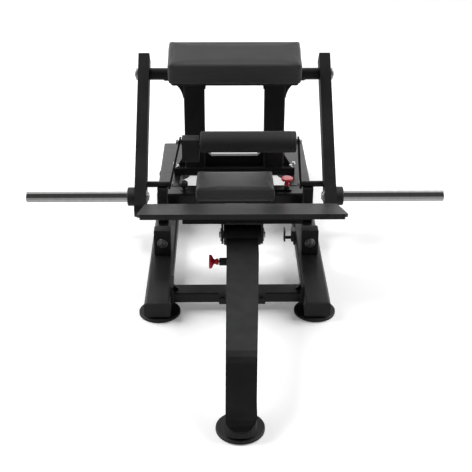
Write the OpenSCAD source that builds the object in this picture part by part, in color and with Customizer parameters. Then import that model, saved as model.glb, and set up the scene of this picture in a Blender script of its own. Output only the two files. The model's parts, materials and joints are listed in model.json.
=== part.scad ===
// Hip thrust machine: floor frame, sprung pins, foot plate, seat, lap roller and lifting arms.
// Millimetres, +Z up, front toward -Y. Origin on the floor at the middle of the footprint.

/* [Floor frame] */
// Distance between the front foot and the rear feet
base_length = 2040; // [1700:10:2300]
// Distance between the outer faces of the two rails
base_width = 710; // [600:5:820]
// Width of the rail tube
rail_w = 100; // [70:1:120]
// Height of the rail tube
rail_h = 60; // [50:1:80]
// Wall of the larger tubes
tube_wall = 4; // [2:0.5:6]
// Distance from the front foot to the front of the rails
rail_front = 645; // [500:5:800]
// Diameter of each round foot
foot_d = 160; // [110:2:180]
// Gap between the floor and the underside of the rails
foot_h = 20; // [16:1:30]

/* [Foot plate] */
// Width of the foot plate
plate_w = 788; // [600:2:860]
// Depth of the foot plate along its slope
plate_d = 383; // [300:5:420]
// Thickness of the foot plate
plate_t = 12; // [8:1:16]
// Slope of the foot plate at rest, falling toward the seat
plate_tilt = 19.5; // [10:0.5:30]
// Height of the foot plate pivot
hub_z = 304; // [270:2:340]
// Diameter of the pivot barrel
hub_d = 80; // [70:1:90]
// Width of the spine at the pivot
spine_w = 120; // [100:1:140]
// Width of the spine at its front end
spine_front_w = 100; // [80:1:120]

/* [Lifting arms] */
// Distance between the outer faces of the two arms
arm_span = 870; // [800:5:940]
// Width of each arm tube
arm_w = 50; // [40:1:60]
// Depth of each arm tube
arm_d = 80; // [60:1:90]
// Length from the top pivot to the weight horn
arm_len = 598; // [540:2:640]
// Angle of the arm below level at rest
arm_angle = 43.4; // [40:0.2:48]
// Height of the top pivot
axle_z = 631; // [600:2:680]
// Diameter of the top axle tube
axle_d = 54; // [44:1:60]
// Diameter of each weight horn
horn_d = 48; // [44:0.5:50]
// Clear length of each weight horn
horn_len = 437; // [300:5:460]

/* [Cushions] */
// Width of the back cushion
back_w = 590; // [480:10:640]
// Depth of the back cushion along its slope
back_d = 185; // [160:5:220]
// Thickness of the back cushion
back_t = 107; // [85:1:120]
// Slope of the back cushion, rising to the rear
back_tilt = 20; // [10:1:26]
// Width of the seat cushion
seat_w = 350; // [280:5:380]
// Depth of the seat cushion
seat_d = 213; // [190:5:240]
// Height of the seat surface
seat_z = 232; // [228:2:250]
// Diameter of the lap roller
roller_d = 100; // [90:1:116]
// Length of the lap roller
roller_len = 418; // [360:2:424]

/* [Fits] */
// Gap all round between a pin and its bore
run_fit = 0.05; // [0.02:0.01:0.1]
// Gap between parts that slide past each other
slide_gap = 0.4; // [0.3:0.1:1]
// Side gap between an arm and the axle shoulder
side_gap = 1; // [0.5:0.1:2]

/* [Hidden] */
$fn = 96;
y_mid = base_length / 2;
rail_x = (base_width - rail_w) / 2;
rail_in = base_width / 2 - rail_w;
rail_top = foot_h + rail_h;
rail_rear = base_length + foot_d / 2;
side_foot_y = rail_front + 66;
deck_top = rail_top + rail_h + 1;
deck_front = rail_front + 852;
cross_y = rail_front + 116;
cross_d = 72;
cross_h = 42;
cross_top = rail_top - 3;
hub_y = rail_front + 136;
hub_half = spine_w / 2 + 10;
lane_x = 19;
ear_t = 8;
axle_y = rail_front + 1095;
arm_in = arm_span / 2 - arm_w;
horn_y = axle_y - arm_len * cos(arm_angle);
horn_z = axle_z - arm_len * sin(arm_angle);
collar_d = 81;
collar_len = 31;
rod_up = 57;
rod_y = horn_y + rod_up * cos(arm_angle);
rod_z = horn_z + rod_up * sin(arm_angle);
rod_d = 26;
link_x = rail_x - 21;
roller_y = rod_y + 74;
roller_z = rod_z + 167;
lean_left = 14;
lean_right = 3;
link_t = 8;
left_x = -link_x + 167 * tan(lean_left);
right_x = link_x - 167 * tan(lean_right);
roller_left = left_x + 90;
pin_r = 103;
pin_a = 243.5;
pin_d = 12;
collar_t = 28;
pin_y = hub_y + pin_r * cos(pin_a);
pin_z = hub_z + pin_r * sin(pin_a);
slot_w = 14;
slot_x = -23;
sector_t = 8;
upright_w = 95;
upright_d = 60;
upright_x = rail_x - 120.5;
back_fore = 56.5;
back_up = axle_d / 2 - 0.6;
beam_d = 74;
beam_h = 40;
beam_top = deck_top + beam_h;
seat_y = rail_front + 811;
seat_t = 60;
board_t = 12;
guide_t = 14;
guide_w = 90;
lock_x = rail_in - 16;
lock_y = deck_front + 48;
post_w = 44;
post_x = link_x + 12 + post_w / 2;
block_y = rail_front + 382;

function lane(y) = 2.5 + (lane_x - 2.5) * min(1, y / (hub_y - 130));

// Shared shapes

module place(p) {
  translate([p[0], p[1] - y_mid, p[2]]) children();
}

module both() {
  children();
  mirror([1, 0, 0]) children();
}

module rrect(w, h, r) {
  square([w - 2 * r, h], center = true);
  square([w, h - 2 * r], center = true);
  for (sx = [-1, 1])
    for (sy = [-1, 1])
      translate([sx * (w / 2 - r), sy * (h / 2 - r)])
        circle(r);
}

// Bar of rounded section running toward +Y from the given point
module bar_y(w, h, len, r) {
  rotate([-90, 0, 0]) linear_extrude(len) rrect(w, h, r);
}

module tube_y(w, h, len, r) {
  rotate([-90, 0, 0]) linear_extrude(len) difference() {
    rrect(w, h, r);
    rrect(w - 2 * tube_wall, h - 2 * tube_wall, r - tube_wall + 1);
  }
}

module bar_x(len, d, h, r) {
  rotate([0, 90, 0]) linear_extrude(len, center = true) rrect(h, d, r);
}

module tube_z(w, d, len, r) {
  linear_extrude(len) difference() {
    rrect(w, d, r);
    rrect(w - 2 * tube_wall, d - 2 * tube_wall, r - tube_wall + 1);
  }
}

module cyl_x(d, len) {
  rotate([0, 90, 0]) cylinder(d = d, h = len, center = true);
}

// Solid drawn in the side view and run across the machine
module side_slab(w) {
  rotate([90, 0, 90]) linear_extrude(w, center = true) children();
}

// Round button with a turned edge, rising along +Z
module button(d, h, e) {
  rotate_extrude() polygon([[0, 0], [d / 2, 0], [d / 2, h - e], [d / 2 - e, h], [0, h]]);
}

// Hexagon bolt head on a washer, rising along +Z
module hex_head(d) {
  button(d * 1.9, 3, 0.6);
  translate([0, 0, 2.5]) cylinder(d = d * 1.7, h = d * 0.55, $fn = 6);
}

// Floor frame

module rails() {
  color([0.1, 0.1, 0.11]) both() place([rail_x, rail_front + 4, foot_h + rail_h / 2])
    tube_y(rail_w, rail_h, rail_rear - rail_front - 8, 10);
}

module rail_caps() {
  color([0.06, 0.06, 0.06]) both() for (e = [[rail_front, 1], [rail_rear, -1]])
    place([rail_x, e[0], foot_h + rail_h / 2]) scale([1, e[1], 1]) {
      bar_y(rail_w - 1, rail_h - 1, 4, 9.5);
      translate([0, 4, 0])
        bar_y(rail_w - 2 * tube_wall - 0.6, rail_h - 2 * tube_wall - 0.6, 14, 6);
    }
}

module foot() {
  rotate_extrude() polygon([[0, 0], [foot_d / 2 - 4, 0], [foot_d / 2, 3],
    [foot_d / 2, 10], [foot_d / 2 - 3, 13], [36, 13], [32, foot_h], [0, foot_h]]);
}

module feet() {
  color([0.07, 0.07, 0.07]) {
    place([0, 0, 0]) foot();
    both() {
      place([rail_x - 5, side_foot_y, 0]) foot();
      place([rail_x - 5, base_length, 0]) foot();
    }
  }
}

module front_cross() {
  color([0.1, 0.1, 0.11]) place([0, cross_y, cross_top - cross_h / 2])
    bar_x(2 * rail_in - 16, cross_d, cross_h, 5);
  color([0.1, 0.1, 0.11]) both() place([rail_in - 4, cross_y, 0]) {
    translate([0, 0, (cross_top - cross_h + cross_top + 31) / 2])
      cube([8, cross_d + 20, cross_h + 35], center = true);
    translate([-4, 0, cross_top - 1]) rotate([90, 0, 0])
      linear_extrude(8, center = true) polygon([[0, 0], [0, 22], [-22, 0]]);
  }
}

module rear_cross() {
  color([0.1, 0.1, 0.11]) place([0, rail_rear - 60, foot_h + rail_h / 2])
    bar_x(2 * rail_in, 60, rail_h - 4, 6);
}

// Spine from the front foot up to the foot plate pivot

module spine_side() {
  polygon([[-74, foot_h], [-74, foot_h + 12], [-70, foot_h + 26], [-62, foot_h + 40],
    [-48, foot_h + 54], [96, foot_h + 170], [115, foot_h + 183], [136, foot_h + 193],
    [165, foot_h + 200], [hub_y - 40, hub_z + 3], [hub_y, hub_z + 3], [hub_y + 36, hub_z],
    [hub_y + 44, hub_z - 18], [hub_y + 44, hub_z - 110], [hub_y + 30, hub_z - 128],
    [hub_y - 80, hub_z - 152], [hub_y - 170, hub_z - 102], [200, foot_h + 122],
    [110, foot_h + 70], [58, foot_h]]);
}

module spine_plan(inset) {
  w = spine_w / 2 - inset;
  f = spine_front_w / 2 - inset;
  y1 = hub_y + 60;
  y2 = hub_y - 130;
  polygon([[lane_x - w, y1], [lane_x + w, y1], [lane_x + w, y2], [lane(0) + f, 0],
    [lane(0) + f, -44], [f - 3, -56], [f - 14, -65], [f - 29, -71], [0, -73 + inset],
    [29 - f, -71], [14 - f, -65], [3 - f, -56], [lane(0) - f, -44], [lane(0) - f, 0],
    [lane_x - w, y2]]);
}

// Hollow inside the spine, ending short of the pivot
module spine_hollow() {
  polygon([[-60, foot_h + 8], [-44, foot_h + 42], [105, foot_h + 164], [150, foot_h + 186],
    [hub_y - 150, hub_z - 24], [hub_y - 150, hub_z - 104], [205, foot_h + 132],
    [113, foot_h + 84], [52, foot_h + 8]]);
}

// Space inside the spine that the hole plate turns in
module sector_pocket() {
  circle(31);
  polygon([[12, -25], [56, -23], [pin_r - 14, -47], [pin_r + 1, -58.5], [pin_r + 9, -57],
    [pin_r + 22, -31], [pin_r + 24, 0], [pin_r + 22, 34], [pin_r + 6, 67], [pin_r - 24, 62],
    [4, 34]]);
}

module spine() {
  color([0.1, 0.1, 0.11]) place([0, 0, 0]) difference() {
    union() {
      intersection() {
        side_slab(2 * spine_w) spine_side();
        linear_extrude(hub_z + 10) spine_plan(0);
      }
      translate([lane_x, hub_y, hub_z]) cyl_x(hub_d, 2 * hub_half);
    }
    intersection() {
      side_slab(2 * spine_w) spine_hollow();
      linear_extrude(hub_z + 10) spine_plan(6);
    }
    translate([lane_x, hub_y, hub_z]) cyl_x(30, 2 * hub_half + 2);
    translate([lane_x + slot_x, hub_y, hub_z]) side_slab(slot_w) rotate(pin_a) sector_pocket();
    translate([lane_x - spine_w / 4, pin_y, pin_z]) cyl_x(pin_d + 2 * run_fit, spine_w / 2 + 2);
  }
}

module spine_saddle() {
  top = hub_z - 152 + 8;
  color([0.1, 0.1, 0.11]) place([lane(cross_y), cross_y, 0]) {
    translate([0, -2, (cross_top + top) / 2])
      cube([spine_w - 10, cross_d - 4, top - cross_top], center = true);
    translate([0, -cross_d / 2 - 4, cross_top - cross_h / 2])
      cube([180, 8, cross_h + 4], center = true);
    for (sx = [-1, 1])
      translate([sx * 76, -cross_d / 2 - 8, cross_top - cross_h / 2])
        rotate([90, 0, 0]) hex_head(10);
  }
}

// Rear deck, uprights and top axle

module deck_sides() {
  color([0.1, 0.1, 0.11]) both() place([rail_x, deck_front + 93, rail_top + rail_h / 2 + 0.5])
    tube_y(rail_w, rail_h + 1, rail_rear - deck_front - 93, 9);
}

module deck_front_beam() {
  color([0.1, 0.1, 0.11]) place([0, deck_front + 46.5, rail_top + rail_h / 2 + 0.5]) difference() {
    bar_x(base_width, 93, rail_h + 1, 9);
    for (dy = [-25, 0, 25])
      translate([lock_x, 1.5 + dy, 0]) cylinder(d = 10.1, h = rail_h + 2);
  }
}

module main_beam() {
  color([0.1, 0.1, 0.11]) place([0, axle_y, beam_top - beam_h / 2])
    bar_x(2 * rail_x - 40, beam_d, beam_h, 5);
}

module uprights() {
  h = axle_z + 10 - beam_top;
  color([0.1, 0.1, 0.11]) both() difference() {
    union() {
      place([upright_x, axle_y, beam_top]) tube_z(upright_w, upright_d, h, 8);
      place([upright_x, axle_y, axle_z - 18])
        cube([upright_w - 2, upright_d - 2, 55], center = true);
    }
    place([upright_x, axle_y, axle_z]) cyl_x(axle_d, upright_w + 2);
  }
}

module upright_brace() {
  x = upright_x - upright_w / 2;
  color([0.1, 0.1, 0.11]) place([0, axle_y, beam_top]) {
    translate([0, 10, 25]) cube([2 * x, 30, 50], center = true);
    for (s = [-1, 1])
      scale([s, 1, 1]) translate([0, 10, 0]) rotate([90, 0, 0]) linear_extrude(30, center = true)
        polygon([[x, 49], [x, 78], [x - 30, 49]]);
    both() translate([upright_x + upright_w / 2, 0, 0]) rotate([90, 0, 0])
      linear_extrude(12, center = true) polygon([[0, 0], [38, 0], [0, 62]]);
  }
}

module top_gussets() {
  x = upright_x + upright_w / 2;
  z = axle_z - axle_d / 2 + 4;
  color([0.1, 0.1, 0.11]) both() difference() {
    place([x, axle_y, z]) rotate([90, 0, 0]) linear_extrude(14, center = true) difference() {
      polygon([[0, 0], [92, 0], [92, -5], [0, -92]]);
      translate([96, -96]) circle(92);
    }
    place([x + 46, axle_y, axle_z]) cyl_x(axle_d, 120);
  }
}

module pivot_axle() {
  color([0.1, 0.1, 0.11]) place([0, axle_y, axle_z]) {
    cyl_x(axle_d, 2 * (arm_in - side_gap));
    cyl_x(30 - 2 * run_fit, arm_span + 2 * side_gap);
  }
}

module axle_caps() {
  color([0.7, 0.7, 0.72]) both() place([arm_span / 2 + side_gap, axle_y, axle_z])
    rotate([0, 90, 0]) {
      button(axle_d, 10, 2);
      translate([0, 0, 9]) cylinder(d = 26, h = 6, $fn = 6);
    }
}

// Back cushion on its brackets

module on_back() {
  place([0, axle_y - back_fore, axle_z + back_up]) rotate([back_tilt, 0, 0]) children();
}

// Point in the side view of the back cushion's own frame
function back_pt(y, z) = [axle_y - back_fore + y * cos(back_tilt) - z * sin(back_tilt),
  axle_z + back_up + y * sin(back_tilt) + z * cos(back_tilt)];

module back_brackets() {
  top = axle_z + 10;
  low = axle_z - 62;
  under = -board_t;
  inner = upright_x - upright_w / 2;
  reach = axle_d / 2 + 1;
  wide = axle_d / 2 + 5;
  color([0.1, 0.1, 0.11]) both() difference() {
    union() {
      place([upright_x - 6, 0, 0]) side_slab(64)
        polygon([[axle_y - reach, top], [axle_y + reach, top], back_pt(80, under), back_pt(0, under)]);
      place([inner - 3, 0, 0]) side_slab(6) polygon([[axle_y - wide, low], [axle_y + wide, low],
        [axle_y + wide, top], back_pt(80, under), back_pt(-50, under), [axle_y - wide, top - 30]]);
    }
    place([upright_x, axle_y, axle_z]) cyl_x(axle_d, 160);
  }
}

module back_board() {
  color([0.05, 0.05, 0.05]) on_back() translate([0, 0, -board_t])
    linear_extrude(board_t) rrect(back_w - 24, back_d - 20, 12);
}

module back_cushion() {
  r = 14;
  color([0.13, 0.13, 0.14]) on_back() hull() {
    for (sx = [-1, 1])
      for (sy = [-1, 1]) {
        translate([sx * (back_w / 2 - r), sy * (back_d / 2 - r), 0]) cylinder(r = r - 3, h = 1, $fn = 32);
        translate([sx * (back_w / 2 - r), sy * (back_d / 2 - r), back_t - r]) sphere(r, $fn = 32);
        translate([sx * (back_w / 2 - r), sy * (back_d / 2 - r), 5]) cylinder(r = r, h = 1, $fn = 32);
      }
  }
}

// Lifting arms; each is drawn along its own length from the top pivot

module on_arm() {
  place([0, axle_y, axle_z]) rotate([arm_angle, 0, 0]) children();
}

module arm_shape() {
  low = arm_len + 52;
  wall = tube_wall;
  difference() {
    union() {
      difference() {
        union() {
          translate([-arm_w / 2, -low, -arm_d / 2]) cube([arm_w, low + 85, arm_d]);
          translate([0, -low, 0]) cyl_x(arm_d, arm_w);
        }
        translate([wall - arm_w / 2, -low, wall - arm_d / 2])
          cube([arm_w - 2 * wall, low + 85 - wall, arm_d - 2 * wall]);
      }
      for (y = [0, -arm_len, rod_up - arm_len])
        translate([0, y, 0]) cyl_x(46, arm_w - wall);
    }
    cyl_x(30, arm_w + 2);
    translate([0, -arm_len, 0]) cyl_x(30, arm_w + 2);
    translate([0, rod_up - arm_len, 0]) cyl_x(rod_d, arm_w + 2);
  }
}

module arm_left() {
  color([0.1, 0.1, 0.11]) on_arm() translate([-arm_in - arm_w / 2, 0, 0]) arm_shape();
}

module arm_right() {
  color([0.1, 0.1, 0.11]) on_arm() translate([arm_in + arm_w / 2, 0, 0]) arm_shape();
}

module horns() {
  tip = arm_span / 2 + collar_len + horn_len;
  color([0.8, 0.8, 0.82]) both() place([0, horn_y, horn_z]) rotate([0, 90, 0]) {
    translate([0, 0, arm_in]) cylinder(d = 30, h = arm_w + 1);
    translate([0, 0, arm_span / 2]) cylinder(d = 40, h = collar_len + 1);
    translate([0, 0, arm_span / 2 + collar_len]) cylinder(d = horn_d, h = horn_len - 3);
    translate([0, 0, tip - 3]) button(horn_d, 3, 2);
  }
}

module horn_collars() {
  color([0.06, 0.06, 0.06]) both() place([arm_span / 2, horn_y, horn_z])
    rotate([0, 90, 0]) difference() {
      button(collar_d, collar_len, 3);
      translate([0, 0, -1]) cylinder(d = 40, h = collar_len + 2);
    }
}

module horn_bolts() {
  color([0.75, 0.75, 0.77]) both() place([arm_in, horn_y, horn_z]) rotate([0, -90, 0]) {
    button(58, 4, 1);
    translate([0, 0, 3]) button(40, 8, 5);
  }
}

module arm_rods() {
  len = arm_in + arm_w - link_x - 4;
  color([0.08, 0.08, 0.08]) both() place([link_x + 4 + len / 2, rod_y, rod_z])
    cyl_x(rod_d, len);
}

// Side plate of the roller carriage, drawn from the rod end upward
module link_shape(side, lean, thick) {
  dx = roller_y - rod_y;
  dz = (roller_z - rod_z) / cos(lean);
  place([side * link_x, rod_y, rod_z]) rotate([0, side * -lean, 0]) difference() {
    side_slab(thick) union() {
      circle(22);
      translate([dx, dz]) circle(24);
      polygon([[-20, 9], [20, -9], [dx + 22, dz - 10], [dx - 22, dz + 10]]);
    }
    translate([0, dx, dz]) cyl_x(14, 60);
  }
}

module link_left() {
  color([0.1, 0.1, 0.11]) link_shape(-1, lean_left, link_t);
}

module link_right() {
  color([0.1, 0.1, 0.11]) link_shape(1, lean_right, link_t);
}

module link_bolts() {
  color([0.75, 0.75, 0.77]) {
    both() place([link_x - 4, rod_y, rod_z]) rotate([0, -90, 0]) hex_head(14);
    place([right_x + link_t / 2 + 0.6, roller_y, roller_z]) rotate([0, 90, 0]) hex_head(13);
    place([left_x - link_t / 2 - 1.6, roller_y, roller_z]) rotate([0, -90, 0]) hex_head(13);
  }
}

module roller_housing() {
  x0 = left_x + link_t / 2 + 7;
  x1 = roller_left - 4;
  color([0.08, 0.08, 0.08]) place([(x0 + x1) / 2, roller_y, roller_z - 30]) difference() {
    bar_x(x1 - x0, 64, 104, 6);
    translate([0, 0, 30]) cyl_x(24, x1 - x0 + 2);
  }
}

module roller_axle() {
  x0 = left_x + link_t / 2 + 1;
  x1 = right_x - link_t / 2 - 0.6;
  y0 = left_x - link_t / 2 - 1.6;
  y1 = right_x + link_t / 2 + 0.6;
  color([0.6, 0.6, 0.62]) {
    place([(x0 + x1) / 2, roller_y, roller_z]) cyl_x(24, x1 - x0);
    place([(y0 + y1) / 2, roller_y, roller_z]) cyl_x(14, y1 - y0);
  }
}

module roller_core() {
  color([0.05, 0.05, 0.05]) place([roller_left + roller_len / 2, roller_y, roller_z]) difference() {
    cyl_x(44, roller_len - 2);
    cyl_x(24 + 2 * run_fit, roller_len);
  }
}

module roller_cushion() {
  color([0.13, 0.13, 0.14]) place([roller_left, roller_y, roller_z]) rotate([0, 90, 0])
    rotate_extrude() polygon([[22.3, 0], [roller_d / 2 - 6, 0], [roller_d / 2 - 2, 2],
      [roller_d / 2, 7], [roller_d / 2, roller_len - 7], [roller_d / 2 - 2, roller_len - 2],
      [roller_d / 2 - 6, roller_len], [22.3, roller_len]]);
}

// Foot plate, drawn level about its pivot and turned to the resting slope

module on_plate() {
  place([lane_x, hub_y, hub_z]) rotate([-plate_tilt, 0, 0]) children();
}

plate_up = 92 * cos(plate_tilt);
plate_front = -84;

module foot_plate() {
  color([0.1, 0.1, 0.11]) on_plate() translate([0, plate_front, plate_up - plate_t]) {
    linear_extrude(plate_t) polygon([[-plate_w / 2, 14], [12 - plate_w / 2, 0],
      [plate_w / 2 - 12, 0], [plate_w / 2, 14], [plate_w / 2, plate_d - 14],
      [plate_w / 2 - 14, plate_d], [14 - plate_w / 2, plate_d], [-plate_w / 2, plate_d - 14]]);
    translate([12 - plate_w / 2, 0, -8]) cube([plate_w - 24, 6, 9]);
  }
}

module plate_bracket() {
  ear_x = hub_half + side_gap + ear_t / 2;
  top = plate_up - plate_t;
  color([0.1, 0.1, 0.11]) on_plate() {
    translate([0, 0, top - 14]) cube([450, 100, 28], center = true);
    both() translate([ear_x, 0, 0]) difference() {
      side_slab(ear_t) union() {
        circle(36);
        polygon([[-36, 0], [36, 0], [48, top - 14], [-48, top - 14]]);
      }
      cyl_x(30 - 2 * run_fit, ear_t + 2);
    }
  }
}

module plate_sector() {
  color([0.35, 0.35, 0.36]) on_plate() translate([slot_x, 0, 0]) side_slab(sector_t)
    rotate(pin_a + plate_tilt) difference() {
      polygon([[-24, -12], [-24, 12], [-12, 24], [10, 26], [pin_r - 10, 18], [pin_r + 12, 22],
        [pin_r + 19, 0], [pin_r + 15, -30], [pin_r, -55], [pin_r - 15, -44], [56, -20],
        [14, -22], [-12, -24]]);
      circle(15 - run_fit);
      for (a = [-20, -10, 0])
        rotate(a) translate([pin_r, 0]) circle(d = pin_d + 0.6);
    }
}

module plate_axle() {
  color([0.6, 0.6, 0.62]) place([lane_x, hub_y, hub_z])
    cyl_x(30 - 2 * run_fit, 2 * (hub_half + side_gap + ear_t));
}

module plate_caps() {
  color([0.7, 0.7, 0.72]) translate([lane_x, 0, 0]) both()
    place([hub_half + side_gap + ear_t, hub_y, hub_z]) rotate([0, 90, 0]) {
      button(52, 4, 1.5);
      translate([0, 0, 3]) cylinder(d = 26, h = 6, $fn = 6);
    }
}

module plate_pin() {
  color([0.7, 0.7, 0.72]) place([lane_x, pin_y, pin_z]) rotate([0, -90, 0])
    translate([0, 0, slot_w / 2 - slot_x + 0.5])
      cylinder(d = pin_d, h = spine_w / 2 + collar_t + 2.5 - slot_w / 2 + slot_x);
}

// Flared knob rising along +Z from its neck
module knob() {
  rotate_extrude() polygon([[0, 0], [12, 0], [12, 9], [9, 14], [11, 19], [24, 25],
    [27, 28], [27, 35], [24, 37], [0, 37]]);
}

module plate_pin_knob() {
  color([0.75, 0.05, 0.1]) place([lane_x - spine_w / 2 - collar_t - 2, pin_y, pin_z]) rotate([0, -90, 0])
    difference() {
      knob();
      translate([0, 0, -1]) cylinder(d = pin_d, h = 2);
    }
}

module plate_pin_collar() {
  color([0.06, 0.06, 0.06]) place([lane_x - spine_w / 2, pin_y, pin_z]) rotate([0, -90, 0])
    difference() {
      button(30, collar_t, 2);
      translate([0, 0, -1]) cylinder(d = pin_d + 2 * run_fit, h = collar_t + 3);
    }
}

// Seat on a short slide, held by its own sprung pin

module seat_guide() {
  y0 = seat_y - seat_d / 2 + 45;
  y1 = axle_y - beam_d / 2;
  color([0.35, 0.35, 0.36]) place([0, (y0 + y1) / 2, deck_top + guide_t / 2])
    cube([guide_w, y1 - y0, guide_t], center = true);
}

module seat_carriage() {
  z0 = deck_top + guide_t + slide_gap;
  zt = seat_z - seat_t - board_t;
  color([0.1, 0.1, 0.11]) {
    place([0, seat_y, (z0 + zt) / 2]) cube([guide_w + 30, seat_d - 50, zt - z0], center = true);
    both() place([guide_w / 2 + slide_gap + 5, seat_y, 0])
      translate([0, 0, (deck_top + 2 + zt) / 2]) cube([10, seat_d - 50, zt - deck_top - 2], center = true);
    place([(guide_w / 2 + lock_x + 22) / 2, lock_y, deck_top + 4.5]) difference() {
      cube([lock_x + 22 - guide_w / 2 - 2, 36, 6], center = true);
      translate([lock_x - (guide_w / 2 + lock_x + 22) / 2, 0, 0])
        cylinder(d = 10.1, h = 10, center = true);
    }
  }
}

module seat_board() {
  color([0.05, 0.05, 0.05]) place([0, seat_y, seat_z - seat_t - board_t])
    linear_extrude(board_t) rrect(seat_w - 24, seat_d - 20, 12);
}

module seat_cushion() {
  r = 14;
  color([0.13, 0.13, 0.14]) place([0, seat_y, seat_z - seat_t]) hull() {
    for (sx = [-1, 1])
      for (sy = [-1, 1]) {
        translate([sx * (seat_w / 2 - r), sy * (seat_d / 2 - r), 0]) cylinder(r = r - 3, h = 1, $fn = 32);
        translate([sx * (seat_w / 2 - r), sy * (seat_d / 2 - r), seat_t - r]) sphere(r, $fn = 32);
        translate([sx * (seat_w / 2 - r), sy * (seat_d / 2 - r), 5]) cylinder(r = r, h = 1, $fn = 32);
      }
  }
}

module seat_pin() {
  color([0.7, 0.7, 0.72]) place([lock_x, lock_y, deck_top + 2]) cylinder(d = 10, h = 23);
}

module seat_pin_knob() {
  color([0.75, 0.05, 0.1]) place([lock_x, lock_y, deck_top + 23]) difference() {
    knob();
    translate([0, 0, -1]) cylinder(d = 10, h = 3);
  }
}

module seat_pin_collar() {
  color([0.06, 0.06, 0.06]) place([lock_x, lock_y, deck_top + 7.5]) difference() {
    button(26, 14, 2);
    translate([0, 0, -1]) cylinder(d = 10.1, h = 17);
  }
}

// Rests, stops and fasteners

module rest_posts() {
  h = rod_z - rod_d / 2 - 12 - rail_top;
  color([0.1, 0.1, 0.11]) both() place([post_x, rod_y, rail_top])
    linear_extrude(h) rrect(post_w, post_w, 5);
}

module rest_pads() {
  color([0.05, 0.05, 0.05]) both() place([post_x, rod_y, rod_z - rod_d / 2 - 12])
    linear_extrude(12 - slide_gap) rrect(post_w, post_w, 5);
}

module stop_blocks() {
  color([0.08, 0.08, 0.08]) both() place([rail_x - 1, block_y, rail_top]) translate([0, 0, 57])
    difference() {
      bar_y(68, 114, 46, 5);
      rotate([90, 0, 0]) translate([0, 0, -20]) cylinder(d = 14, h = 40, center = true);
    }
}

module stop_bolts() {
  color([0.75, 0.75, 0.77]) both() place([rail_x - 1, block_y, rail_top + 57]) rotate([90, 0, 0]) {
    translate([0, 0, -39]) cylinder(d = 14, h = 40);
    button(42, 4, 1);
    translate([0, 0, 3]) cylinder(d = 24, h = 9, $fn = 6);
    translate([0, 0, 11]) cylinder(d = 14, h = 5);
  }
}

module frame_bolts() {
  color([0.75, 0.75, 0.77]) both() {
    for (dy = [30, 62])
      place([base_width / 2, rail_rear - dy, foot_h + rail_h / 2]) rotate([0, 90, 0]) hex_head(12);
    for (dx = [-16, 16])
      place([rail_x - 30 + dx / 2, axle_y + dx, beam_top]) hex_head(10);
  }
}

module side_bracket() {
  y = rail_front + 545;
  color([0.1, 0.1, 0.11]) place([rail_in, y, rail_top - 6]) {
    translate([-4, 0, 0]) cube([8, 40, 44], center = true);
    translate([-9, 0, 18]) cube([18, 38, 50], center = true);
    translate([-46, 0, 18]) cube([7, 38, 50], center = true);
    translate([-31, 0, 4]) rotate([0, 90, 0]) cylinder(d = 14, h = 30, center = true);
  }
}

rails();
rail_caps();
feet();
front_cross();
rear_cross();
spine();
spine_saddle();
deck_sides();
deck_front_beam();
main_beam();
uprights();
upright_brace();
top_gussets();
pivot_axle();
axle_caps();
back_brackets();
back_board();
back_cushion();
arm_left();
arm_right();
horns();
horn_collars();
horn_bolts();
arm_rods();
link_left();
link_right();
link_bolts();
roller_housing();
roller_axle();
roller_core();
roller_cushion();
foot_plate();
plate_bracket();
plate_sector();
plate_axle();
plate_caps();
plate_pin();
plate_pin_knob();
plate_pin_collar();
seat_guide();
seat_carriage();
seat_board();
seat_cushion();
seat_pin();
seat_pin_knob();
seat_pin_collar();
rest_posts();
rest_pads();
stop_blocks();
stop_bolts();
frame_bolts();
side_bracket();
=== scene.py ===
"""Looks of the hip thrust machine: cushions, fittings, paint, studio floor and light."""
import json
import math

import bmesh
import bpy
from mathutils import Matrix, Vector


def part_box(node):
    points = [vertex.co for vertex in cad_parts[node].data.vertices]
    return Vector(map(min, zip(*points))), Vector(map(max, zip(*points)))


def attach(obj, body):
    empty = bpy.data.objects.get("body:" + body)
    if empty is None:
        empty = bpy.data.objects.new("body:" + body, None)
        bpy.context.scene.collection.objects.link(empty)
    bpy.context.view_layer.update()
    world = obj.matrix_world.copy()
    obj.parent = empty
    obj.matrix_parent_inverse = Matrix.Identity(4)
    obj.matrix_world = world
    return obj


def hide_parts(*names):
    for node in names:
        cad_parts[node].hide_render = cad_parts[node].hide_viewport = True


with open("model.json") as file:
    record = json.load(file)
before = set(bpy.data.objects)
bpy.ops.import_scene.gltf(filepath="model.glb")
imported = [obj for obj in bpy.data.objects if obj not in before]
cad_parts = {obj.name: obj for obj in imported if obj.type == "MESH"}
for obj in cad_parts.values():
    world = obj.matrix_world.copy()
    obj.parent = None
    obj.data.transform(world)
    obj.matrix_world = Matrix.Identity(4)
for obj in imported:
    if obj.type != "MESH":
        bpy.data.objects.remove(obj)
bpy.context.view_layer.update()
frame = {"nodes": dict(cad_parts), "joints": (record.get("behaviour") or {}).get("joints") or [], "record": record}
nodes = frame["nodes"]


# ---------------------------------------------------------------- shader tools

class Wire:
    """One output of a finish's nodes. Arithmetic on it adds Math nodes."""

    def __init__(self, finish, socket):
        self.finish, self.socket = finish, socket

    def _math(self, operation, first, second):
        made = self.finish.add("ShaderNodeMath", {"operation": operation}, {0: first, 1: second})
        return made[0]

    def __add__(self, other):
        return self._math("ADD", self, other)

    __radd__ = __add__

    def __mul__(self, other):
        return self._math("MULTIPLY", self, other)

    __rmul__ = __mul__

    def __rsub__(self, other):
        return self._math("SUBTRACT", other, self)


class Made:
    """A node just added; its outputs are taken by name or number."""

    def __init__(self, finish, node):
        self.finish, self.node = finish, node

    def __getitem__(self, key):
        return Wire(self.finish, self.node.outputs[key])


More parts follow.
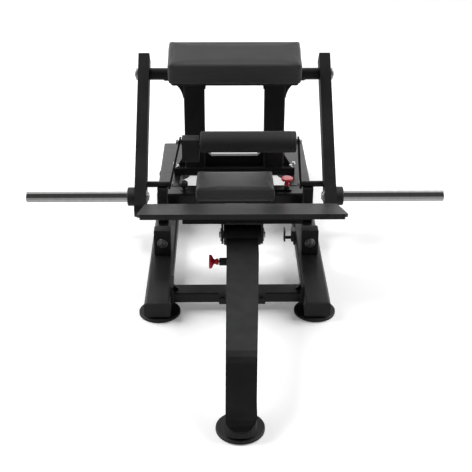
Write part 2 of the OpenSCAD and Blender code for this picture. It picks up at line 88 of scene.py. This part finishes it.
class NodeWork:
    """Adds nodes to a tree; one method makes any node."""

    def __init__(self, tree):
        self.tree = tree
        self.tree.nodes.clear()

    def add(self, kind, settings=None, values=None):
        node = self.tree.nodes.new(kind)
        for key, value in (settings or {}).items():
            if key == "stops":
                while len(node.color_ramp.elements) < len(value):
                    node.color_ramp.elements.new(0.5)
                for stop, (at, colour) in zip(node.color_ramp.elements, value):
                    stop.position, stop.color = at, colour
            else:
                setattr(node, key, value)
        for key, value in (values or {}).items():
            if isinstance(value, Wire):
                self.tree.links.new(value.socket, node.inputs[key])
            else:
                node.inputs[key].default_value = value
        return Made(self, node)


class Finish(NodeWork):
    """A material built from nodes around one Principled shader."""

    def __init__(self, name, **fixed):
        self.material = bpy.data.materials.new(name)
        self.material.use_nodes = True
        super().__init__(self.material.node_tree)
        self.shader = self.tree.nodes.new("ShaderNodeBsdfPrincipled")
        out = self.tree.nodes.new("ShaderNodeOutputMaterial")
        self.tree.links.new(self.shader.outputs[0], out.inputs["Surface"])
        for key, value in fixed.items():
            self.shader.inputs[key.replace("_", " ")].default_value = value
        self.place = self.add("ShaderNodeTexCoord")["Object"]

    def feed(self, name, wire):
        self.tree.links.new(wire.socket, self.shader.inputs[name])

    def noise(self, scale, detail=3.0, rough=0.5, at=None):
        made = self.add("ShaderNodeTexNoise", {"noise_dimensions": "3D"},
                        {"Vector": at or self.place, "Scale": scale, "Detail": detail,
                         "Roughness": rough})
        return made["Fac"]

    def stretched(self, size):
        return self.add("ShaderNodeMapping", {}, {"Vector": self.place, "Scale": size})["Vector"]

    def span(self, wire, low, high, to_low=0.0, to_high=1.0):
        made = self.add("ShaderNodeMapRange", {"clamp": True},
                        {"Value": wire, "From Min": low, "From Max": high,
                         "To Min": to_low, "To Max": to_high})
        return made["Result"]

    def blend(self, factor, first, second):
        made = self.add("ShaderNodeMix", {"data_type": "RGBA"}, {0: factor, 6: first, 7: second})
        return made[2]

    def facing_up(self):
        normal = self.add("ShaderNodeNewGeometry")["Normal"]
        return self.add("ShaderNodeSeparateXYZ", {}, {0: normal})["Z"]

    def bump(self, height, strength, distance, under=None):
        values = {"Strength": strength, "Distance": distance, "Height": height}
        if under is not None:
            values["Normal"] = under
        return self.add("ShaderNodeBump", {}, values)["Normal"]


def grey(value, red=1.0, blue=1.0):
    return (value * red, value, value * blue, 1.0)


# ---------------------------------------------------------------- finishes

def powder_coat(name, tone, smoother):
    """Satin black powder coat: orange-peel skin, faint clouding, dust on top, rubbed spots.

    smoother is taken off the roughness.
    """
    f = Finish(name, Metallic=0.0, IOR=1.5, Coat_Weight=0.0)
    cloud = f.noise(9.0, 4.0, 0.55)
    peel = f.noise(620.0, 2.0, 0.5)
    grains = f.noise(2300.0, 1.0, 0.5)
    dust = f.span(f.facing_up(), 0.55, 1.0) * f.span(f.noise(26.0, 5.0, 0.6), 0.42, 0.72)
    scuff = f.span(f.noise(34.0, 6.0, 0.72, f.stretched((1.0, 0.35, 0.6))), 0.66, 0.74)
    base = f.blend(f.span(cloud, 0.3, 0.7), grey(tone * 0.85, 1.0, 1.06),
                   grey(tone * 1.15, 1.0, 1.05))
    base = f.blend(dust * 0.25, base, grey(0.024, 1.0, 0.98))
    base = f.blend(scuff * 0.2, base, grey(0.04))
    f.feed("Base Color", base)
    satin = f.span(cloud, 0.25, 0.75, 0.31 - smoother, 0.38 - smoother)
    f.feed("Roughness", satin + dust * 0.07 + grains * 0.03)
    f.feed("Normal", f.bump(peel + grains * 0.35, 0.14, 0.0006))
    return f.material


def vinyl(name, tone, rough, shine):
    """Soft grained vinyl: pebbled cells with painted shade darkening their edges, fine pores, slow wrinkles and
    worn shine.
    """
    f = Finish(name, IOR=1.45, Specular_IOR_Level=shine, Sheen_Weight=0.05, Sheen_Roughness=0.5)
    warp = f.noise(60.0, 2.0, 0.5)
    cells = f.add("ShaderNodeTexVoronoi", {"feature": "DISTANCE_TO_EDGE"},
                  {"Vector": f.place, "Scale": 520.0, "Randomness": 1.0})["Distance"]
    fine = f.add("ShaderNodeTexVoronoi", {"feature": "F1"},
                 {"Vector": f.place, "Scale": 1150.0, "Randomness": 1.0})["Distance"]
    pebble = f.span(cells, 0.0, 0.16) * 0.8 + fine * 0.3
    rubbed = f.span(f.noise(7.0, 4.0, 0.6), 0.4, 0.75)
    # The cells' edges, which are the grain's valleys, are painted darker: painted shade in the recesses.
    base = f.blend(f.span(cells, 0.0, 0.1), grey(tone * 0.48), grey(tone, 1.0, 1.03))
    base = f.blend(rubbed * 0.4, base, grey(tone * 1.24, 1.0, 1.02))
    f.feed("Base Color", base)
    f.feed("Roughness", rough - rubbed * 0.08 + f.span(cells, 0.0, 0.1, 0.06, 0.0))
    skin = f.bump(warp, 0.12, 0.003)
    f.feed("Normal", f.bump(pebble, 0.3, 0.0005, skin))
    return f.material


def bright_metal(name, tone, smooth, rough, along, streak, bump):
    """Bare or plated metal with lines left by turning or brushing along one direction."""
    f = Finish(name, Metallic=1.0)
    lines = f.noise(streak, 4.0, 0.65, f.stretched(along))
    haze = f.noise(38.0, 4.0, 0.6)
    f.feed("Base Color", f.blend(f.span(haze, 0.3, 0.75), grey(tone), grey(tone * 0.86, 1.0, 0.99)))
    f.feed("Roughness", f.span(lines, 0.3, 0.7, smooth, rough) + f.span(haze, 0.55, 0.8) * 0.08)
    f.feed("Normal", f.bump(lines, bump, 0.0003))
    return f.material


def moulded(name, tone, rough, scale, strength, red=1.0):
    """Moulded plastic or rubber with a fine spark-eroded texture."""
    f = Finish(name, IOR=1.48)
    skin = f.noise(scale, 2.0, 0.5)
    cloud = f.noise(14.0, 4.0, 0.6)
    dust = f.span(f.facing_up(), 0.5, 1.0) * f.span(f.noise(31.0, 5.0, 0.65), 0.4, 0.75)
    base = f.blend(f.span(cloud, 0.3, 0.7), grey(tone * 0.8, red), grey(tone * 1.15, red))
    f.feed("Base Color", f.blend(dust * 0.3, base, grey(tone * 2.6, 1.0, 0.97)))
    f.feed("Roughness", f.span(cloud, 0.3, 0.7, rough - 0.04, rough + 0.05) + dust * 0.08)
    f.feed("Normal", f.bump(skin, strength, 0.0005))
    return f.material


def red_gloss():
    """Glossy red moulded knob with a faint swirl and handling marks."""
    f = Finish("red_gloss", IOR=1.5, Coat_Weight=0.6, Coat_Roughness=0.12)
    swirl = f.noise(70.0, 5.0, 0.6, f.stretched((1.0, 1.0, 0.4)))
    marks = f.span(f.noise(210.0, 3.0, 0.6), 0.58, 0.7)
    base = f.blend(f.span(swirl, 0.3, 0.7), (0.47, 0.006, 0.022, 1.0), (0.6, 0.012, 0.035, 1.0))
    f.feed("Base Color", f.blend(marks * 0.25, base, (0.3, 0.005, 0.012, 1.0)))
    f.feed("Roughness", 0.24 + marks * 0.2)
    f.feed("Normal", f.bump(swirl, 0.06, 0.0005))
    return f.material


def painted_board():
    """Black-painted plywood with its grain telegraphing through."""
    f = Finish("painted_board", IOR=1.45)
    grain = f.noise(24.0, 6.0, 0.6, f.stretched((1.0, 9.0, 9.0)))
    f.feed("Base Color", f.blend(f.span(grain, 0.35, 0.7), grey(0.012), grey(0.02, 1.05, 0.95)))
    f.feed("Roughness", f.span(grain, 0.3, 0.7, 0.6, 0.72))
    f.feed("Normal", f.bump(grain, 0.25, 0.0006))
    return f.material


finishes = {
    "frame_black": powder_coat("powder_coat", 0.0078, 0.03),
    # Lighter copy of the frame's powder coat for the foot plate: a painted highlight standing in for the plate's
    # brighter reflection.
    "deck_paint_painted_highlight": powder_coat("deck_paint_painted_highlight", 0.026, 0.06),
    "vinyl": vinyl("grained_vinyl", 0.042, 0.5, 0.5),
    "roller_vinyl": vinyl("roller_vinyl", 0.024, 0.6, 0.28),
    "black_plastic": moulded("black_plastic", 0.014, 0.5, 1500.0, 0.12),
    "rubber_black": moulded("black_rubber", 0.012, 0.66, 900.0, 0.2),
    "zinc_steel": bright_metal("zinc_plate", 0.72, 0.2, 0.34, (1.0, 1.0, 1.0), 240.0, 0.08),
    "chrome": bright_metal("chrome", 0.86, 0.05, 0.11, (26.0, 1.0, 1.0), 16.0, 0.02),
    "steel": bright_metal("turned_steel", 0.45, 0.3, 0.44, (30.0, 1.0, 1.0), 24.0, 0.1),
    "red_knob": red_gloss(),
    "board": painted_board(),
}

slot_of = {part["node"]: part["material_slot"] for part in frame["record"]["subparts"]}


def dress(obj, slot):
    obj.data.materials.clear()
    obj.data.materials.append(finishes[slot])


for name, obj in nodes.items():
    # The foot plate takes the lighter copy of the powder coat, which is a painted highlight.
    dress(obj, "deck_paint_painted_highlight" if name == "foot_plate" else slot_of[name])


# ---------------------------------------------------------------- piece tools

# Weld beads: ripple length and ring sizes, as shares of the bead's radius.
RIPPLE = 0.9
BEAD_END, BEAD_LOW, BEAD_HIGH = 0.6, 0.9, 1.08


def keep(mesh_work, name, body, slot, smooth=True):
    """Turns finished mesh work into a piece that rides on a body."""
    bmesh.ops.recalc_face_normals(mesh_work, faces=mesh_work.faces)
    mesh = bpy.data.meshes.new(name)
    mesh_work.to_mesh(mesh)
    mesh_work.free()
    for face in mesh.polygons:
        face.use_smooth = smooth
    obj = bpy.data.objects.new(name, mesh)
    bpy.context.scene.collection.objects.link(obj)
    dress(obj, slot)
    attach(obj, body)
    return obj


def run_along(direction):
    """Rotation that takes +Z to a direction."""
    turn = Vector((0, 0, 1)).rotation_difference(Vector(direction).normalized())
    return turn.to_matrix().to_4x4()


def weld_bead(work, start, end, radius):
    """Rippled bead of weld from start to end, closed at both ends."""
    start, end = Vector(start), Vector(end)
    length = (end - start).length
    steps = max(4, int(length / (radius * RIPPLE)))
    turn = Matrix.Translation(start) @ run_along(end - start)
    made = bmesh.ops.create_circle(work, cap_ends=True, segments=8, radius=radius * BEAD_END, matrix=turn)
    ring = [e for e in work.edges if all(v in made["verts"] for v in e.verts)]
    last = BEAD_END
    for step in range(steps):
        grown = bmesh.ops.extrude_edge_only(work, edges=ring)["geom"]
        verts = [g for g in grown if isinstance(g, bmesh.types.BMVert)]
        ring = [g for g in grown if isinstance(g, bmesh.types.BMEdge)]
        size = BEAD_END if step == steps - 1 else (BEAD_HIGH if step % 2 else BEAD_LOW)
        bmesh.ops.translate(work, vec=(end - start) / steps, verts=verts)
        centre = sum((v.co for v in verts), Vector()) / len(verts)
        bmesh.ops.scale(work, vec=(size / last,) * 3, space=Matrix.Translation(-centre), verts=verts)
        last = size
    bmesh.ops.contextual_create(work, geom=ring)


def lathe(work, profile, turn, segments=40):
    """Closed turned shape in empty mesh work, from (radius, height) points along +Z of turn."""
    points = [work.verts.new((r, 0, z)) for r, z in profile]
    edges = [work.edges.new(pair) for pair in zip(points, points[1:])]
    bmesh.ops.spin(work, geom=points + edges, axis=(0, 0, 1), cent=(0, 0, 0), dvec=(0, 0, 0),
                   angle=2 * math.pi, steps=segments, use_merge=True)
    bmesh.ops.transform(work, matrix=turn, verts=work.verts)
    bmesh.ops.remove_doubles(work, verts=work.verts, dist=1e-6)


def mirrored(work):
    """Adds the same shapes across the centre plane."""
    bmesh.ops.mirror(work, geom=work.verts[:] + work.edges[:] + work.faces[:], axis="X", merge_dist=-1.0)


# ---------------------------------------------------------------- cushions

# Covers start a little inside the cushion's size, so that swelling brings them out to it.
SHY = 0.002
SEAM_DEPTH, SEAM_WIDTH = 0.0017, 0.0022
TUCK_DEPTH, TUCK_HEIGHT = 0.0012, 0.004


def swell(start, name, pinned, cap, pressure, voxel=0.005, frames=20):
    """Fills a closed shape by cloth simulation.

    pinned(point) says what stays on its board, and no point moves further than cap.
    """
    mesh = bpy.data.meshes.new(name)
    start.to_mesh(mesh)
    start.free()
    obj = bpy.data.objects.new(name, mesh)
    bpy.context.scene.collection.objects.link(obj)
    remesh = obj.modifiers.new("even", "REMESH")
    remesh.mode = "VOXEL"
    remesh.voxel_size = voxel
    bake(obj)
    rest = [v.co.copy() for v in obj.data.vertices]
    held = obj.vertex_groups.new(name="held")
    held.add([i for i, p in enumerate(rest) if pinned(p)], 1.0, "REPLACE")
    cloth = obj.modifiers.new("fill", "CLOTH")
    cloth.settings.vertex_group_mass = "held"
    cloth.settings.quality = 5
    cloth.settings.mass = 0.3
    cloth.settings.tension_stiffness = cloth.settings.compression_stiffness = 18
    cloth.settings.shear_stiffness = 8
    cloth.settings.bending_stiffness = 0.6
    cloth.settings.use_pressure = True
    cloth.settings.uniform_pressure_force = pressure
    cloth.settings.effector_weights.gravity = 0.0
    cloth.collision_settings.use_collision = False
    cloth.point_cache.frame_start, cloth.point_cache.frame_end = 1, frames
    for step in range(1, frames + 1):
        bpy.context.scene.frame_set(step)
    bake(obj)
    for vert, was in zip(obj.data.vertices, rest):
        move = vert.co - was
        if move.length > 1e-9:
            vert.co = was + move.normalized() * cap * math.tanh(move.length / cap)
    bpy.context.scene.frame_set(1)
    finer = obj.modifiers.new("finer", "SUBSURF")
    finer.levels = finer.render_levels = 1
    bake(obj)
    return obj


def bake(obj):
    """Applies every modifier on an object to its mesh."""
    bpy.context.view_layer.update()
    done = bpy.data.meshes.new_from_object(obj.evaluated_get(bpy.context.evaluated_depsgraph_get()))
    obj.modifiers.clear()
    obj.vertex_groups.clear()
    obj.data = done


def finish_pad(obj, body, stands_for, look="vinyl"):
    for face in obj.data.polygons:
        face.use_smooth = True
    dress(obj, look)
    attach(obj, body)
    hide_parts(stands_for)


def slab(width, depth, height, edge):
    """Bevelled block standing on z = 0, centred in x and y."""
    work = bmesh.new()
    bmesh.ops.create_cube(work, size=1.0, matrix=Matrix.Translation((0, 0, height / 2))
                          @ Matrix.Diagonal((width, depth, height, 1)))
    upright = [e for e in work.edges if abs(e.verts[0].co.z - e.verts[1].co.z) > 1e-6]
    bmesh.ops.bevel(work, geom=upright, offset=edge, segments=5, profile=0.5, affect="EDGES", material=-1)
    top = [e for e in work.edges if all(abs(v.co.z - height) < 1e-6 for v in e.verts)]
    bmesh.ops.bevel(work, geom=top, offset=edge, segments=5, profile=0.5, affect="EDGES", material=-1)
    low = [e for e in work.edges if all(abs(v.co.z) < 1e-6 for v in e.verts)]
    bmesh.ops.bevel(work, geom=low, offset=edge * 0.4, segments=3, profile=0.5, affect="EDGES", material=-1)
    return work


def sewn_pad(name, size, edge, turn, body, stands_for, cap):
    """Board-mounted cushion: swollen cover, a sewn seam round its side and a tuck at its foot."""
    width, depth, height = size
    work = slab(width - 2 * SHY, depth - 2 * SHY, height - SHY, edge)
    obj = swell(work, name, lambda p: p.z < 0.006, cap, 4.0)
    seam = height * 0.56
    half = Vector((width / 2, depth / 2))
    for vert in obj.data.vertices:
        p = vert.co
        p.z = max(p.z, 0.0)
        side = max(abs(p.x) / half.x, abs(p.y) / half.y)
        if side > 0.9 and p.z < height - 0.012:
            pull = SEAM_DEPTH * math.exp(-((p.z - seam) / SEAM_WIDTH) ** 2)
            pull += TUCK_DEPTH * math.exp(-((p.z - TUCK_HEIGHT) / 0.006) ** 2)
            if abs(p.x) > half.x - 0.02:
                p.x -= math.copysign(pull, p.x)
            if abs(p.y) > half.y - 0.02:
                p.y -= math.copysign(pull, p.y)
            drag = math.sin(p.x * 61.0) * math.sin(p.y * 83.0 + 1.3) * 0.0005
            p.z += drag * (1.0 - min(1.0, abs(p.z - seam) / 0.03))
    obj.data.transform(turn)
    finish_pad(obj, body, stands_for)
    return obj


def back_cover():
    """The back cushion's underside sits on its board, set from the top axle and tilted to the rear."""
    size, tilt = (0.590, 0.185, 0.107), math.radians(20.0)
    forward, up = 0.0565, 0.0264
    low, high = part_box("pivot_axle")
    axle = (low + high) / 2
    turn = Matrix.Translation((0, axle.y - forward, axle.z + up)) @ Matrix.Rotation(tilt, 4, "X")
    return sewn_pad("back_pad", size, 0.009, turn, "frame", "back_cushion", 0.0022)


def seat_cover():
    low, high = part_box("seat_cushion")
    turn = Matrix.Translation(((low.x + high.x) / 2, (low.y + high.y) / 2, low.z))
    return sewn_pad("seat_pad", tuple(high - low), 0.007, turn, "seat", "seat_cushion", 0.003)


def lap_roller():
    """Foam roller in a sewn vinyl sleeve with gathered ends."""
    low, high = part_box("roller_cushion")
    mid = (low + high) / 2
    radius = (high.z - low.z) / 2
    length = high.x - low.x
    work = bmesh.new()
    r, h, core = radius - 0.003, length / 2 - 0.001, 0.0225
    profile = [(core, -h), (r - 0.005, -h), (r - 0.0015, -h + 0.0015), (r, -h + 0.005),
               (r, h - 0.005), (r - 0.0015, h - 0.0015), (r - 0.005, h), (core, h), (core, -h)]
    lathe(work, profile, Matrix.Rotation(math.pi / 2, 4, "Y"), 64)
    bmesh.ops.recalc_face_normals(work, faces=work.faces)
    obj = swell(work, "lap_pad", lambda p: p.yz.length < core + 0.006, 0.004, 3.0, 0.0045)
    for vert in obj.data.vertices:
        p = vert.co
        around = math.atan2(p.z, p.y)
        out = p.yz.length
        if out > core + 0.004 and abs(p.x) < h - 0.004:
            seam = math.exp(-((abs(p.x) - (h - 0.016)) / 0.0022) ** 2) * 0.0016
            line = math.exp(-(((around + 2.2) * out) / 0.002) ** 2) * 0.0014
            p.yz = p.yz * (1.0 - (seam + line) / out)
        elif out > core + 0.004:
            pleat = 0.0007 * math.sin(around * 26.0) * min(1.0, (out - core) / 0.02)
            p.x += math.copysign(pleat, p.x)
    obj.data.transform(Matrix.Translation(mid))
    finish_pad(obj, "roller", "roller_cushion", "roller_vinyl")
    return obj


back_cover()
seat_cover()
lap_roller()


# ---------------------------------------------------------------- fittings and welds

def box_mid(node):
    low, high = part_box(node)
    return low, high, (low + high) / 2


def plate_hub():
    """Centre of the foot plate's pivot."""
    return Vector(next(j for j in frame["joints"] if j["name"] == "plate_angle")["pos_m"])


def frame_welds():
    """Beads where the black frame members meet."""
    work = bmesh.new()
    low, high, _ = box_mid("uprights")
    beam_low, beam_high, _ = box_mid("main_beam")
    upright_width = 0.095
    outer, inner = high.x, high.x - upright_width
    top, front, rear = beam_high.z, low.y, high.y
    weld_bead(work, (inner, front, top), (outer, front, top), 0.0035)
    weld_bead(work, (inner, rear, top), (outer, rear, top), 0.0035)
    g_low, g_high, _ = box_mid("top_gussets")
    for y in (g_low.y, g_high.y):
        weld_bead(work, (outer, y, g_low.z + 0.004), (outer, y, g_high.z - 0.01), 0.0028)
        weld_bead(work, (outer + 0.004, y, g_high.z - 0.002),
                  (g_high.x - 0.004, y, g_high.z - 0.002), 0.0028)
    deck_low, deck_high, _ = box_mid("deck_sides")
    for y in (beam_low.y, beam_high.y):
        weld_bead(work, (high.x + 0.02, y, deck_high.z), (beam_high.x, y, deck_high.z), 0.0032)
    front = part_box("deck_front_beam")[1].y
    weld_bead(work, (deck_low.x + 0.52, front, deck_high.z - 0.001),
              (deck_high.x - 0.01, front, deck_high.z - 0.001), 0.0026)
    cross_low, cross_high, _ = box_mid("front_cross")
    y0, y1 = cross_low.y + 0.010, cross_high.y - 0.010
    x = cross_high.x - 0.008
    weld_bead(work, (x, y0, 0.0775), (x, y1, 0.0775), 0.003)
    weld_bead(work, (x, y0, 0.036), (x, y0, 0.076), 0.003)
    rear = box_mid("upright_brace")[2].y + 0.025
    weld_bead(work, (inner - 0.001, rear, top), (inner - 0.001, rear, top + 0.045), 0.003)
    mirrored(work)
    return keep(work, "frame_welds", "frame", "frame_black")


def ring_weld(work, centre, reach, degrees):
    """Bead round an axis along X, in straight runs from each angle to the next."""
    x, y, z = centre
    angles = [math.radians(a) for a in degrees]
    points = [(x, y + reach * math.cos(a), z + reach * math.sin(a)) for a in angles]
    for start, end in zip(points, points[1:]):
        weld_bead(work, start, end, 0.0026)


def spine_welds():
    """Beads round the pivot barrel and the saddle of the spine."""
    work = bmesh.new()
    hub = plate_hub()
    for side in (-1, 1):
        ring_weld(work, (hub.x + side * 0.060, hub.y, hub.z), 0.0405, [100 + step * 17 for step in range(11)])
    saddle = box_mid("spine_saddle")[2]
    y = saddle.y + 0.004 - 0.027
    weld_bead(work, (saddle.x - 0.055, y, 0.078), (saddle.x + 0.055, y, 0.078), 0.003)
    return keep(work, "spine_welds", "frame", "frame_black")


def plate_welds():
    """Beads where the ears meet the foot plate's under-bar."""
    work = bmesh.new()
    slope = math.radians(19.5)
    turn = Matrix.Translation(plate_hub()) @ Matrix.Rotation(-slope, 4, "X")
    top = 0.092 * math.cos(slope) - 0.012 - 0.028
    for side in (-1, 1):
        for off in (-0.0045, 0.0045):
            x = side * 0.075 + off
            weld_bead(work, turn @ Vector((x, -0.040, top)), turn @ Vector((x, 0.040, top)), 0.0028)
    for y in (-0.0505, 0.0505):
        weld_bead(work, turn @ Vector((-0.222, y, top + 0.0275)),
                  turn @ Vector((0.222, y, top + 0.0275)), 0.003)
    return keep(work, "plate_welds", "plate", "frame_black")


def arm_welds():
    """Beads round the rods where they pass into the arms."""
    work = bmesh.new()
    low, high, mid = box_mid("arm_rods")
    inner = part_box("arm_right")[0].x
    rod = (high.z - low.z) / 2
    ring_weld(work, (inner, mid.y, mid.z), rod, range(0, 361, 30))
    mirrored(work)
    return keep(work, "arm_welds", "arms", "frame_black")


def bumper_knob():
    """Black ball on a short stem, opposite the seat's pull pin."""
    work = bmesh.new()
    pin = box_mid("seat_pin_collar")[2]
    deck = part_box("deck_sides")[1].z
    profile = [(0.0, 0.0), (0.016, 0.0), (0.016, 0.003), (0.008, 0.006), (0.008, 0.014),
               (0.013, 0.018), (0.0185, 0.024), (0.0205, 0.032), (0.0185, 0.040), (0.012, 0.0455),
               (0.005, 0.0475), (0.0, 0.048)]
    lathe(work, profile, Matrix.Translation((-pin.x + 0.004, pin.y, deck)))
    return keep(work, "bumper_knob", "frame", "black_plastic")


frame_welds()
spine_welds()
plate_welds()
arm_welds()
bumper_knob()


# ---------------------------------------------------------------- floor, light and camera

def studio():
    """White floor, a soft surround that is brightest low at the rear, and two high softboxes."""
    floor_work = bmesh.new()
    bmesh.ops.create_grid(floor_work, x_segments=1, y_segments=1, size=14.0)
    mesh = bpy.data.meshes.new("floor")
    floor_work.to_mesh(mesh)
    floor_work.free()
    floor = bpy.data.objects.new("floor", mesh)
    bpy.context.scene.collection.objects.link(floor)
    f = Finish("studio_floor", IOR=1.3, Emission_Color=(1.0, 1.0, 1.0, 1.0), Emission_Strength=0.2)
    tone = f.noise(1.2, 2.0, 0.5)
    f.feed("Base Color", f.blend(tone, grey(0.94), grey(0.96)))
    f.feed("Roughness", f.span(tone, 0.3, 0.7, 0.75, 0.85))
    mesh.materials.append(f.material)
    floor.visible_glossy = False

    world = bpy.data.worlds.new("studio_air")
    bpy.context.scene.world = world
    world.use_nodes = True
    air = NodeWork(world.node_tree)
    way = air.add("ShaderNodeSeparateXYZ", {}, {0: air.add("ShaderNodeTexCoord")["Generated"]})

    def ease(axis, low, high, to_low, to_high):
        made = air.add("ShaderNodeMapRange", {"clamp": True, "interpolation_type": "SMOOTHSTEP"},
                       {"Value": way[axis], "From Min": low, "From Max": high,
                        "To Min": to_low, "To Max": to_high})
        return made["Result"]

    rear_wall = ease("Z", -0.02, 0.1, 0.0, 1.0) * ease("Z", 0.40, 0.62, 1.0, 0.0)
    rear_wall = rear_wall * ease("Y", -0.1, 0.5, 0.0, 1.0)
    overhead = ease("Z", 0.72, 0.9, 0.0, 0.55) * ease("Y", 0.05, 0.42, 0.0, 1.0)
    below = ease("Z", -0.95, -0.5, 0.45, 0.28) * ease("Z", -0.1, 0.1, 1.0, 0.0)
    above = ease("Z", -0.1, 0.1, 0.0, 1.0) * ease("Y", -0.2, 0.4, 0.05, 0.28)
    glow = rear_wall * 1.3 + overhead + below + above
    back = air.add("ShaderNodeBackground", {}, {"Color": (1.0, 1.0, 1.0, 1.0), "Strength": glow})
    out = air.tree.nodes.new("ShaderNodeOutputWorld")
    air.tree.links.new(back["Background"].socket, out.inputs["Surface"])

    def softbox(name, at, power):
        light = bpy.data.lights.new(name, "AREA")
        light.shape, light.size, light.size_y, light.energy = "RECTANGLE", 3.6, 3.6, power
        lamp = bpy.data.objects.new(name, light)
        lamp.location = at
        lamp.rotation_euler = (-Vector(at)).to_track_quat("-Z", "Y").to_euler()
        bpy.context.scene.collection.objects.link(lamp)

    softbox("left_high", (-4.2, 0.6, 4.4), 330)
    softbox("right_high", (4.4, 0.4, 4.2), 285)


def camera():
    """Camera just above the front of the machine, looking down at it and nearly level."""
    pitch, yaw, roll = 0.478569, 0.0136697, 0.0022679
    focal, image = 951.392, 472
    forward = Vector((math.sin(yaw) * math.cos(pitch), math.cos(yaw) * math.cos(pitch), -math.sin(pitch)))
    right = Vector((math.cos(yaw), -math.sin(yaw), 0.0))
    up = right.cross(forward)
    side = math.cos(roll) * right + math.sin(roll) * up
    top = -math.sin(roll) * right + math.cos(roll) * up
    data = bpy.data.cameras.new("photo_view")
    data.sensor_width, data.lens = 36.0, focal / image * 36.0
    data.dof.use_dof = False
    eye = bpy.data.objects.new("photo_view", data)
    eye.matrix_world = Matrix((
        (side.x, top.x, -forward.x, -0.04846),
        (side.y, top.y, -forward.y, -3.45817),
        (side.z, top.z, -forward.z, 1.96780),
        (0, 0, 0, 1)))
    bpy.context.scene.collection.objects.link(eye)
    bpy.context.scene.camera = eye


studio()
camera()
bpy.context.scene.view_settings.view_transform = "Standard"
